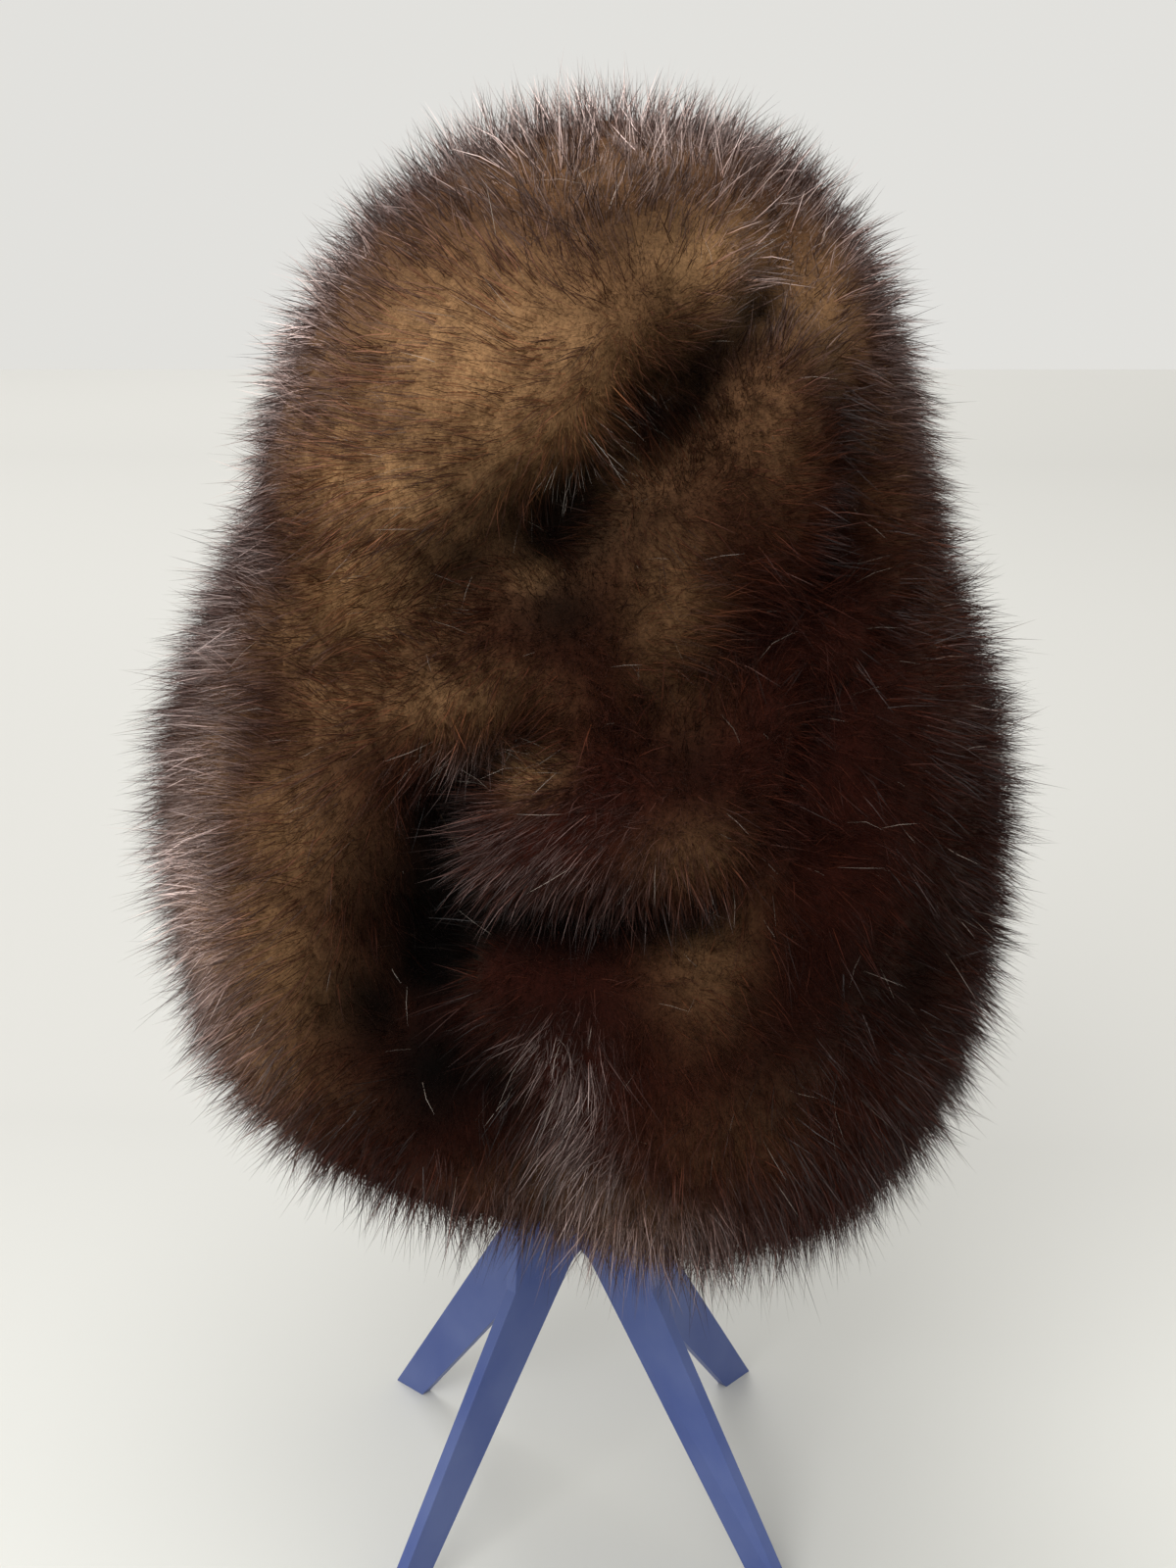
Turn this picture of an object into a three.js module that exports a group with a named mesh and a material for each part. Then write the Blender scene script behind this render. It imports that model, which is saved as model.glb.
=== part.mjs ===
// A tall, soft fur hat with a turned-up cuff, standing on a plain stand of two interlocked plates.
// Millimetres, +Z up. The front of the hat faces -Y, and the feet of the stand are at Z = 0.
import * as THREE from "three";

// Driving dimensions of the hat
const HIDE_WALL = 3;
const PIECE_GAP = 0.5;
const LOCK_RISE = 5.5;
const LOCK_DIP = 5;
const LOCK_NAP = 4;
const SHORTEST_LOCK = 0.8;
const LONGEST_LOCK = 1.2;
const RIM_TILT = 15;
const TILT_ROWS = 4;
const RELIEF_IN_HIDE = 0.25;
const THINNEST_FUR = 2;
const THINNEST_PAD = 1.6;
const COLUMNS = 40;
const CUFF_BANDS = 10;
const SIDE_BANDS = 6;
const TOP_BANDS = 6;
const TOP_START = 0.48;
const EDGE_GAP = 0.012;

// Driving dimensions of the stand
const PLATE = 4;
const SLOT_PLAY = 0.3;
const STAND_TURN = THREE.MathUtils.degToRad(2.5);
const STAND_OFFSET = -2.5;
const FOOT_INNER = 76;
const FOOT_OUTER = 89.5;
const ARCH_TOP = 90;
const ARCH_RADIUS = 9;
const HIP = { reach: 32, height: 88 };
const NECK_REACH = 18;
const DOME = { reach: 56, middle: 338, top: 414 };
const LAP_HEIGHT = 255;
const CURVE_STEPS = 14;

// The hat's profile, a row for each section from the rim to the top of the crown.
// height, width and depth are the inside of the hide, as its height and its half sizes along X and Y.
// shift moves the section along X. lean is the angle of the fur above the horizontal.
// pad is the thickness of the cuff's padding, and fur is how deep the dense fur stands.
const SECTIONS = [
  { name: "rim", height: 163, width: 84, depth: 95, shift: 0.5, lean: -80, pad: 2, fur: 8 },
  { name: "roll", height: 174, width: 85, depth: 96, shift: 0, lean: -60, pad: 6, fur: 15 },
  { name: "hem", height: 185, width: 84.5, depth: 95.5, shift: -0.5, lean: -38, pad: 9, fur: 18.5 },
  { name: "low cuff", height: 200, width: 84, depth: 95, shift: -0.5, lean: -18, pad: 12, fur: 20 },
  { name: "widest", height: 230, width: 84, depth: 95, shift: 0, lean: 0, pad: 14, fur: 20.5 },
  { name: "high cuff", height: 260, width: 83.5, depth: 94.5, shift: 0, lean: 11, pad: 13.5, fur: 20 },
  { name: "cuff edge", height: 290, width: 81.5, depth: 91, shift: 0, lean: 18, pad: 8, fur: 18.5 },
  { name: "waist", height: 320, width: 77, depth: 85.5, shift: 0.5, lean: 17, pad: 2, fur: 17.5 },
  { name: "side", height: 350, width: 71, depth: 78, shift: 1, lean: 15, pad: 0, fur: 17 },
  { name: "shoulder", height: 375, width: 63, depth: 69.5, shift: 2.5, lean: 30, pad: 0, fur: 17 },
  { name: "brow", height: 395, width: 51, depth: 56, shift: 5.5, lean: 51, pad: 0, fur: 17 },
  { name: "crest", height: 409.5, width: 33, depth: 36, shift: 8, lean: 71, pad: 0, fur: 17 },
  { name: "top", height: 417.5, width: 0, depth: 0, shift: 9, lean: 90, pad: 0, fur: 17 },
];

// The upper edge of the cuff, as its height in the fur at each azimuth from the front towards +X.
// It dips in front, where the soft crown slumps over it.
const CUFF_EDGE = [
  { azimuth: -180, height: 325 },
  { azimuth: -90, height: 329 },
  { azimuth: -55, height: 320 },
  { azimuth: -32, height: 296 },
  { azimuth: -16, height: 258 },
  { azimuth: 0, height: 249 },
  { azimuth: 16, height: 253 },
  { azimuth: 32, height: 292 },
  { azimuth: 55, height: 313 },
  { azimuth: 90, height: 320 },
  { azimuth: 180, height: 325 },
];
const EDGE_CREASE = { depth: 3.5, width: 7 };
const EDGE_ROUNDING = 1.3;
const HALVING_STEPS = 40;

// Folds in the fur: a groove from one place on the fur's face to another, in degrees and millimetres.
const FOLDS = [
  { name: "long crease", from: [40, 400], to: [12, 371], depth: 15, width: 12 },
  { name: "long crease, deep half", from: [14, 373], to: [-6, 345], depth: 20, width: 12 },
  { name: "long crease, fading", from: [-8, 343], to: [-38, 311], depth: 8, width: 12 },
  { name: "right valley", from: [54, 358], to: [44, 334], depth: 8, width: 13 },
  { name: "right valley, lower", from: [42, 331], to: [8, 302], depth: 8, width: 13 },
  { name: "hollow, top", from: [-9, 294], to: [-20, 276], depth: 13, width: 11 },
  { name: "hollow, side", from: [-21, 273], to: [-23, 244], depth: 19, width: 13 },
  { name: "front crease", from: [-18, 248], to: [16, 250], depth: 14, width: 11 },
  { name: "hollow, tail", from: [-24, 238], to: [-29, 216], depth: 12, width: 15 },
  { name: "cuff valley", from: [-20, 231], to: [-6, 168], depth: 10, width: 15 },
  { name: "right shadow", from: [34, 298], to: [24, 230], depth: 6, width: 14 },
  { name: "low right dent", from: [48, 224], to: [34, 196], depth: 5, width: 14 },
  { name: "back crease", from: [150, 395], to: [196, 352], depth: 11, width: 14 },
  { name: "back dent", from: [-120, 372], to: [-142, 338], depth: 7, width: 16 },
  { name: "back cuff valley", from: [168, 300], to: [176, 176], depth: 7, width: 16 },
  { name: "left cuff valley", from: [-98, 292], to: [-88, 196], depth: 4, width: 16 },
];

// Lobes of the soft crown and cuff: a rise at one place, spread along the azimuth and the height.
const LOBES = [
  { name: "upper left lobe", azimuth: -22, height: 372, across: 36, along: 26, rise: 5 },
  { name: "right column", azimuth: 32, height: 346, across: 18, along: 32, rise: 5 },
  { name: "front overhang", azimuth: -2, height: 272, across: 30, along: 13, rise: 7 },
  { name: "left cheek", azimuth: -42, height: 246, across: 26, along: 36, rise: 5 },
  { name: "lower right cheek", azimuth: 16, height: 196, across: 30, along: 18, rise: 4 },
  { name: "right cheek", azimuth: 50, height: 262, across: 24, along: 30, rise: 3 },
  { name: "back lobe", azimuth: 188, height: 380, across: 34, along: 22, rise: 4 },
];

const radians = THREE.MathUtils.degToRad;
const LAST_ROW = SECTIONS.length - 1;

// One column of a table at a fractional row, on a Catmull-Rom curve through its rows.
function smoothColumn(table, name, row) {
  const last = table.length - 1;
  const low = Math.min(Math.max(Math.floor(row), 0), last - 1);
  const t = row - low;
  const [a, b, c, d] = [low - 1, low, low + 1, low + 2].map(
    (index) => table[Math.min(Math.max(index, 0), last)][name],
  );
  return b + 0.5 * t * (c - a + t * (2 * a - 5 * b + 4 * c - d + t * (3 * (b - c) + d - a)));
}

// All columns of the section table at a fractional row, with the reach of the dense fur there.
function sectionAt(row) {
  const at = {};
  for (const name of ["height", "width", "depth", "shift", "lean", "pad", "fur"]) {
    at[name] = smoothColumn(SECTIONS, name, row);
  }
  at.pad = Math.max(at.pad, 0);
  at.lean = radians(at.lean);
  at.stack = HIDE_WALL + 2 * PIECE_GAP + at.pad + at.fur;
  at.faceHeight = at.height + at.stack * Math.sin(at.lean);
  at.faceRadius = at.width + at.stack * Math.cos(at.lean);
  return at;
}

// The fractional row whose fur has its face at a height, found by halving.
function rowAtFace(height) {
  let low = 0;
  let high = LAST_ROW;
  for (let step = 0; step < HALVING_STEPS; step += 1) {
    const middle = (low + high) / 2;
    if (sectionAt(middle).faceHeight < height) low = middle;
    else high = middle;
  }
  return low;
}

// An azimuth brought to between -180 and 180 degrees.
const wrapped = (degrees) => ((((degrees + 180) % 360) + 360) % 360) - 180;

// The row of the cuff's upper edge at an azimuth.
function edgeRow(azimuth) {
  const degrees = wrapped(azimuth);
  let index = 0;
  while (CUFF_EDGE[index + 1].azimuth < degrees) index += 1;
  const { azimuth: start } = CUFF_EDGE[index];
  const { azimuth: end } = CUFF_EDGE[index + 1];
  const height = smoothColumn(CUFF_EDGE, "height", index + (degrees - start) / (end - start));
  return rowAtFace(height);
}

// How far the fur's face rises at a place, from the lobes less the folds.
function reliefAt(azimuth, row, edge) {
  const { faceHeight, faceRadius } = sectionAt(row);
  let relief = 0;
  for (const lobe of LOBES) {
    const x = (radians(wrapped(azimuth - lobe.azimuth)) * faceRadius) / lobe.across;
    const z = (faceHeight - lobe.height) / lobe.along;
    relief += lobe.rise * Math.exp(-x * x - z * z);
  }
  for (const fold of FOLDS) {
    const x = radians(wrapped(azimuth - fold.from[0])) * faceRadius;
    const z = faceHeight - fold.from[1];
    const runX = radians(fold.to[0] - fold.from[0]) * faceRadius;
    const runZ = fold.to[1] - fold.from[1];
    const along = Math.min(Math.max((x * runX + z * runZ) / (runX * runX + runZ * runZ), 0), 1);
    const away = Math.hypot(x - along * runX, z - along * runZ) / fold.width;
    relief -= fold.depth * Math.exp(-away * away);
  }
  const fromEdge = (faceHeight - sectionAt(edge).faceHeight) / EDGE_CREASE.width;
  return relief - EDGE_CREASE.depth * Math.exp(-fromEdge * fromEdge);
}

// The part of the padding that is the cuff's, from 1 below its edge to 0 at the edge.
const coverAt = (row, edge) => THREE.MathUtils.smoothstep(edge - row, 0, EDGE_ROUNDING);

// A place on the hat: its section, direction of the fur and the thickness of what lies there.
function placeAt(azimuth, row, edge) {
  const at = sectionAt(row);
  const cover = coverAt(row, edge);
  const tilt = -RIM_TILT * Math.sin(radians(azimuth)) * Math.max(1 - row / TILT_ROWS, 0);
  return {
    ...at,
    azimuth: radians(azimuth),
    height: at.height + tilt,
    relief: reliefAt(azimuth, row, edge),
    slack: at.pad * (1 - cover),
    pad: Math.max(at.pad * cover, THINNEST_PAD),
  };
}

// The point that lies a distance outwards from the profile, along the lean of the fur.
function pointOut(place, distance) {
  const across = distance * Math.cos(place.lean);
  return new THREE.Vector3(
    place.shift + (place.width + across) * Math.sin(place.azimuth),
    -(place.depth + across) * Math.cos(place.azimuth),
    place.height + distance * Math.sin(place.lean),
  );
}

// How far out each surface of the hat lies.
const hideInside = (place) => place.slack + place.relief * RELIEF_IN_HIDE;
const hideOutside = (place) => hideInside(place) + HIDE_WALL;
const cuffInside = (place) => hideOutside(place) + PIECE_GAP;
const cuffOutside = (place) => cuffInside(place) + place.pad;
const cuffFurInside = (place) => cuffOutside(place) + PIECE_GAP;
const furFace = (place) => HIDE_WALL + 2 * PIECE_GAP + place.slack + place.relief + place.fur;
const cuffFurFace = (place) => furFace(place) + place.pad;

// The parts of the grid that every layer of the hat shares, from the rim up, with the bands in each.
// from and to are the shares of the way from the rim to the cuff's edge, plus those from there to the top.
// The last band of the top is a fan round its middle, so it has no row at its upper side.
const PARTS = [
  { name: "cuff", from: 0, to: 1, bands: CUFF_BANDS, rows: CUFF_BANDS + 1 },
  { name: "side", from: 1, to: 1 + TOP_START, bands: SIDE_BANDS, rows: SIDE_BANDS + 1 },
  { name: "top", from: 1 + TOP_START, to: 2, bands: TOP_BANDS, rows: TOP_BANDS },
];

// The fractional row of the profile at a share of the way up: 0 the rim, 1 the cuff's edge, 2 the top.
function rowAtShare(share, edge) {
  return share <= 1 ? edge * share : edge + (LAST_ROW - edge) * (share - 1);
}

// One row of the grid. Where two parts meet, each has a row of its own, a little clear of the other's.
// Each row is staggered by half a cell against the next, apart from two that meet.
function gridRow(part, band, number) {
  const stagger = (number % 2) / 2;
  const meetsBelow = band === 0 && part.from > 0;
  const meetsAbove = band === part.bands;
  const clear = EDGE_GAP * (Number(meetsBelow) - Number(meetsAbove));
  const share = part.from + ((part.to - part.from) * band) / part.bands;
  const places = [];
  for (let column = 0; column < COLUMNS; column += 1) {
    const azimuth = (360 * (column + stagger)) / COLUMNS;
    const edge = edgeRow(azimuth);
    places.push(placeAt(azimuth, rowAtShare(share, edge) + clear, edge));
  }
  return { part: part.name, band, number, stagger, places };
}

// All rows of the grid. number counts the bands below a row, so that two that meet share theirs.
function hatGrid() {
  let number = 0;
  return PARTS.flatMap((part) => {
    const rows = Array.from({ length: part.rows }, (_, band) => gridRow(part, band, number + band));
    number += part.bands;
    return rows;
  });
}

// A list of points and triangles that grows into one closed mesh.
class Skin {
  constructor() {
    this.points = [];
    this.corners = [];
  }

  ring(places, distance) {
    return places.map((place) => this.point(pointOut(place, distance(place))));
  }

  point(position) {
    this.points.push(position);
    return this.points.length - 1;
  }

  face(a, b, c) {
    this.corners.push(a, b, c);
  }

  // Two triangles for each cell between two rings, split along the shorter diagonal.
  band(low, high, leansRight) {
    low.forEach((a, index) => {
      const b = low[(index + 1) % low.length];
      const c = high[(index + 1) % low.length];
      const d = high[index];
      if (leansRight) {
        this.face(a, b, d);
        this.face(b, c, d);
      } else {
        this.face(a, b, c);
        this.face(a, c, d);
      }
    });
  }

  // Four triangles for each cell, which meet at the tip of a lock.
  lockBand(low, high, tipOf) {
    low.forEach((a, index) => {
      const next = (index + 1) % low.length;
      const ring = [a, low[next], high[next], high[index]];
      const tip = this.point(tipOf(ring.map((corner) => this.points[corner]), index));
      ring.forEach((corner, side) => this.face(corner, ring[(side + 1) % 4], tip));
    });
  }

  // A fan from a ring to one point.
  close(ring, tip) {
    ring.forEach((a, index) => this.face(a, ring[(index + 1) % ring.length], tip));
  }

  // The same with every face turned round, for the inner side of a wall.
  reversed(build) {
    const start = this.corners.length;
    build();
    for (let index = start; index < this.corners.length; index += 3) {
      [this.corners[index], this.corners[index + 1]] = [this.corners[index + 1], this.corners[index]];
    }
  }

  geometry() {
    const made = new THREE.BufferGeometry().setFromPoints(this.points);
    made.setIndex(this.corners);
    made.computeVertexNormals();
    return made;
  }
}

// A number from 0 to 1 that looks random but is the same for the same cell.
function scatter(column, row) {
  const wave = Math.sin(column * 12.9898 + row * 78.233) * 43758.5453;
  return wave - Math.floor(wave);
}

// The tip of a lock: out from the middle of its cell along the fur, and drooping with the nap.
function lockTip(corners, place, column, row) {
  const middle = corners.reduce((sum, corner) => sum.add(corner), new THREE.Vector3()).divideScalar(4);
  const share = THREE.MathUtils.lerp(SHORTEST_LOCK, LONGEST_LOCK, scatter(column, row));
  const rise = (LOCK_DIP + LOCK_RISE) * share;
  const out = pointOut(place, rise).sub(pointOut(place, 0));
  const sideways = (scatter(row, column) - 0.5) * LOCK_NAP;
  const droop = new THREE.Vector3(
    Math.cos(place.azimuth) * sideways,
    Math.sin(place.azimuth) * sideways,
    -LOCK_NAP * Math.cos(place.lean) * Math.min(1, Math.abs(place.lean - Math.PI / 2)),
  );
  return middle.add(out).add(droop);
}

// A wall between two surfaces of the hat over some parts of the grid, open or closed at the top.
// Where it runs on from one part to the next, it has one row there.
function wall({ parts, inside, outside, locks = false }) {
  const skin = new Skin();
  const rows = GRID.filter(({ part, band }) => parts.includes(part) && (band > 0 || part === parts[0]));
  const outer = rows.map(({ places }) => skin.ring(places, outside));
  const inner = rows.map(({ places }) => skin.ring(places, inside));
  rows.slice(0, -1).forEach(({ number, stagger, places }, at) => {
    const tipOf = (corners, column) => lockTip(corners, places[column], column, number);
    if (locks) skin.lockBand(outer[at], outer[at + 1], tipOf);
    else skin.band(outer[at], outer[at + 1], stagger === 0);
    skin.reversed(() => skin.band(inner[at], inner[at + 1], stagger === 0));
  });
  skin.band(inner[0], outer[0], true);
  if (parts.includes("top")) {
    const pole = placeAt(0, LAST_ROW, 0);
    const raised = locks ? LOCK_DIP + LOCK_RISE / 2 : 0;
    skin.close(outer.at(-1), skin.point(pointOut(pole, outside(pole) + raised)));
    const innerTop = skin.point(pointOut(pole, inside(pole)));
    skin.reversed(() => skin.close(inner.at(-1), innerTop));
  } else {
    skin.band(outer.at(-1), inner.at(-1), true);
  }
  return skin.geometry();
}

const GRID = hatGrid();

// One panel of the crown's hide, a thin wall over one part of the grid.
const hideGeometry = (part) => wall({ parts: [part], inside: hideInside, outside: hideOutside });

// The padded cuff round the lower half of the crown.
const cuffGeometry = () => wall({ parts: ["cuff"], inside: cuffInside, outside: cuffOutside });

// The fur of the cuff, in locks on a backing that lies on the cuff.
const cuffFurGeometry = () =>
  wall({
    parts: ["cuff"],
    inside: cuffFurInside,
    outside: (place) => Math.max(cuffFurFace(place) - LOCK_DIP, cuffFurInside(place) + THINNEST_FUR),
    locks: true,
  });

// The fur of the crown above the cuff, in locks on a backing that lies on the hide.
const crownFurGeometry = () =>
  wall({
    parts: ["side", "top"],
    inside: cuffInside,
    outside: (place) => Math.max(furFace(place) - LOCK_DIP, cuffInside(place) + THINNEST_FUR),
    locks: true,
  });

// The outline of one plate: two legs joined by an arch, a neck that tapers from the hip up to NECK_REACH,
// and a dome inside the hat.
// A slot as wide as the other plate comes from the top, or from the arch, to half way.
function plateOutline(slotFromTop) {
  const half = PLATE / 2 + SLOT_PLAY;
  const archMiddle = ARCH_TOP - ARCH_RADIUS;
  const toFoot = Math.hypot(FOOT_INNER, archMiddle);
  const archStart = Math.acos(ARCH_RADIUS / toFoot) - Math.atan2(archMiddle, FOOT_INNER);
  const domeRise = DOME.top - DOME.middle;
  const neckAngle = Math.acos(NECK_REACH / DOME.reach);
  const shape = new THREE.Shape();
  shape.moveTo(FOOT_INNER, 0);
  shape.lineTo(FOOT_OUTER, 0);
  shape.lineTo(HIP.reach, HIP.height);
  if (slotFromTop) {
    const slotAngle = Math.acos(half / DOME.reach);
    shape.absellipse(0, DOME.middle, DOME.reach, domeRise, -neckAngle, slotAngle, false);
    shape.lineTo(half, LAP_HEIGHT - SLOT_PLAY);
    shape.lineTo(-half, LAP_HEIGHT - SLOT_PLAY);
    shape.absellipse(0, DOME.middle, DOME.reach, domeRise, Math.PI - slotAngle, Math.PI + neckAngle, false);
  } else {
    shape.absellipse(0, DOME.middle, DOME.reach, domeRise, -neckAngle, Math.PI + neckAngle, false);
  }
  shape.lineTo(-HIP.reach, HIP.height);
  shape.lineTo(-FOOT_OUTER, 0);
  shape.lineTo(-FOOT_INNER, 0);
  if (slotFromTop) {
    shape.absarc(0, archMiddle, ARCH_RADIUS, Math.PI - archStart, archStart, true);
  } else {
    const slotAngle = Math.acos(half / ARCH_RADIUS);
    shape.absarc(0, archMiddle, ARCH_RADIUS, Math.PI - archStart, Math.PI - slotAngle, true);
    shape.lineTo(-half, LAP_HEIGHT + SLOT_PLAY);
    shape.lineTo(half, LAP_HEIGHT + SLOT_PLAY);
    shape.absarc(0, archMiddle, ARCH_RADIUS, slotAngle, archStart, true);
  }
  shape.closePath();
  return shape;
}

// One plate of the stand, upright, with its middle plane through the origin.
function plateGeometry(slotFromTop) {
  const settings = { depth: PLATE, bevelEnabled: false, curveSegments: CURVE_STEPS };
  const plate = new THREE.ExtrudeGeometry(plateOutline(slotFromTop), settings);
  plate.translate(0, 0, -PLATE / 2);
  plate.rotateX(Math.PI / 2);
  return plate;
}

const fur = new THREE.MeshStandardMaterial({ color: 0x4a2e1c, roughness: 0.85, metalness: 0 });
const hide = new THREE.MeshStandardMaterial({ color: 0x3a2a20, roughness: 0.8, metalness: 0 });
const padding = new THREE.MeshStandardMaterial({ color: 0x2a211b, roughness: 0.9, metalness: 0 });
const plastic = new THREE.MeshStandardMaterial({ color: 0x46599c, roughness: 0.4, metalness: 0 });

// A named mesh of one piece.
function piece(name, geometry, material) {
  const mesh = new THREE.Mesh(geometry, material);
  mesh.name = name;
  return mesh;
}

// The hat, with its crown, its cuff and the fur of each.
function makeHat() {
  const hat = new THREE.Group();
  hat.add(piece("crown_inside_cuff", hideGeometry("cuff"), hide));
  hat.add(piece("crown_side", hideGeometry("side"), hide));
  hat.add(piece("crown_top", hideGeometry("top"), hide));
  hat.add(piece("cuff", cuffGeometry(), padding));
  hat.add(piece("crown_fur", crownFurGeometry(), fur));
  hat.add(piece("cuff_fur", cuffFurGeometry(), fur));
  return hat;
}

// The stand, with one plate slotted over the other.
function makeStand() {
  const stand = new THREE.Group();
  const first = piece("stand_plate_one", plateGeometry(true), plastic);
  const second = piece("stand_plate_two", plateGeometry(false), plastic);
  first.rotation.z = Math.PI / 4;
  second.rotation.z = -Math.PI / 4;
  stand.add(first, second);
  stand.position.x = STAND_OFFSET;
  stand.rotation.z = STAND_TURN;
  return stand;
}

const group = new THREE.Group();
group.add(makeHat(), makeStand());

export default group;
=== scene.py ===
"""A long-haired fur hat with a turned-up cuff, on its plain blue stand.

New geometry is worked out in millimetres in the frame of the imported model, with +Z up and the front of
the hat towards -Y, and is put into its meshes in metres.
"""

from __future__ import annotations

import logging
from dataclasses import astuple, dataclass, field, fields
from enum import Enum

import bpy
import numpy as np
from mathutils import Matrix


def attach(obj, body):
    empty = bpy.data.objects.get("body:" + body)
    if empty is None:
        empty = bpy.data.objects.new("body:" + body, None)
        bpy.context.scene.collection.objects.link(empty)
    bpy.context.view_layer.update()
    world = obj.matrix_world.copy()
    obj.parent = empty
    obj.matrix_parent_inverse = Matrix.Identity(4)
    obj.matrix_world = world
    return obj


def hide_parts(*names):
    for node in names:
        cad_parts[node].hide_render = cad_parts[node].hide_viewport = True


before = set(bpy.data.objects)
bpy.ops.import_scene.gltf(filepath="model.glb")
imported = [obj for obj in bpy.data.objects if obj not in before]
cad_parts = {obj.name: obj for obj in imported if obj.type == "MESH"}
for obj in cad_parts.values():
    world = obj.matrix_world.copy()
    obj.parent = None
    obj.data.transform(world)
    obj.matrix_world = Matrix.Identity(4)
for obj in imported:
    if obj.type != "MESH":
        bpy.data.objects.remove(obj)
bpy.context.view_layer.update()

MM = 0.001
SEED = 20
UNIT_RANGE = (0.0, 1.0)
NOISE_RANGE = (0.3, 0.7)
log = logging.getLogger("fur_hat")

Array = np.ndarray
Piece = bpy.types.Object
Material = bpy.types.Material
Tree = bpy.types.NodeTree
Node = bpy.types.Node
Socket = bpy.types.NodeSocket
Colour = tuple[float, float, float, float]
Range = tuple[float, float]
Stops = tuple[tuple[float, str], ...]


class Zone(Enum):
    """A part of the hat's surface that bears its own coat."""

    CUFF = "cuff_fur"
    CROWN = "crown_fur"


@dataclass(frozen=True)
class Section:
    """One section of the hat's profile: millimetres, with the lean of the fur in degrees.

    height, width and depth are the inside of the hide, as its height and half sizes along X and Y. shift
    moves the section along X, pad is the cuff's padding and fur is how deep the dense fur stands.
    """

    height: float
    width: float
    depth: float
    shift: float
    lean: float
    pad: float
    fur: float


@dataclass(frozen=True)
class Fold:
    """A groove in the fur's face, from one place to another as azimuth in degrees and height in mm."""

    start: Range
    end: Range
    depth: float
    width: float


@dataclass(frozen=True)
class Spot:
    """A round place on the fur's face: its azimuth, height, spreads in mm, and how strong it is."""

    azimuth: float
    height: float
    across: float
    along: float
    strength: float = 1.0

    def weight(self, degrees: Array, height: Array, radius: Array) -> Array:
        """The spot's strength in its middle, falling off in a bell over its two spreads.

        Args:
            degrees: Azimuths.
            height: Heights in millimetres.
            radius: How far from the hat's axis those are.

        Returns:
            The weights, as an array of the same shape.
        """
        x = np.radians(wrapped(degrees - self.azimuth)) * radius / self.across
        z = (height - self.height) / self.along
        return self.strength * np.exp(-x * x - z * z)


def table_of(kind: type, *rows: tuple) -> tuple:
    """The rows of a table, each made into an object of a kind with its values in the order of its fields."""
    return tuple(kind(*row) for row in rows)


@dataclass
class Place:
    """Places on the hat, as arrays of one shape: the section there, the relief and what is built on it."""

    azimuth: Array
    row: Array
    height: Array
    width: Array
    depth: Array
    shift: Array
    lean: Array
    pad: Array
    slack: Array
    fur: Array
    relief: Array
    face_height: Array
    face_radius: Array


def unit(vectors: Array) -> Array:
    """Vectors along the last axis, each scaled to length 1."""
    return vectors / np.maximum(np.linalg.norm(vectors, axis=-1, keepdims=True), 1e-9)


def wrapped(degrees: Array) -> Array:
    """Azimuths brought to between -180 and 180 degrees."""
    return (degrees + 180.0) % 360.0 - 180.0


def eased(share: Array) -> Array:
    """A share from 0 to 1 eased at both ends: three times its square less twice its cube."""
    return share * share * (3 - 2 * share)


def smooth_rows(table: Array, row: Array) -> Array:
    """The columns of a table at fractional rows, on a Catmull-Rom curve through its rows.

    Args:
        table: One row for each knot and one column for each quantity.
        row: Fractional row numbers.

    Returns:
        An array of row's shape with the columns as its last axis.
    """
    last = len(table) - 1
    low = np.clip(np.floor(row), 0, last - 1).astype(int)
    t = (row - low)[..., None]
    a, b, c, d = (table[np.clip(low + step, 0, last)] for step in (-1, 0, 1, 2))
    return b + 0.5 * t * (c - a + t * (2 * a - 5 * b + 4 * c - d + t * (3 * (b - c) + d - a)))


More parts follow.
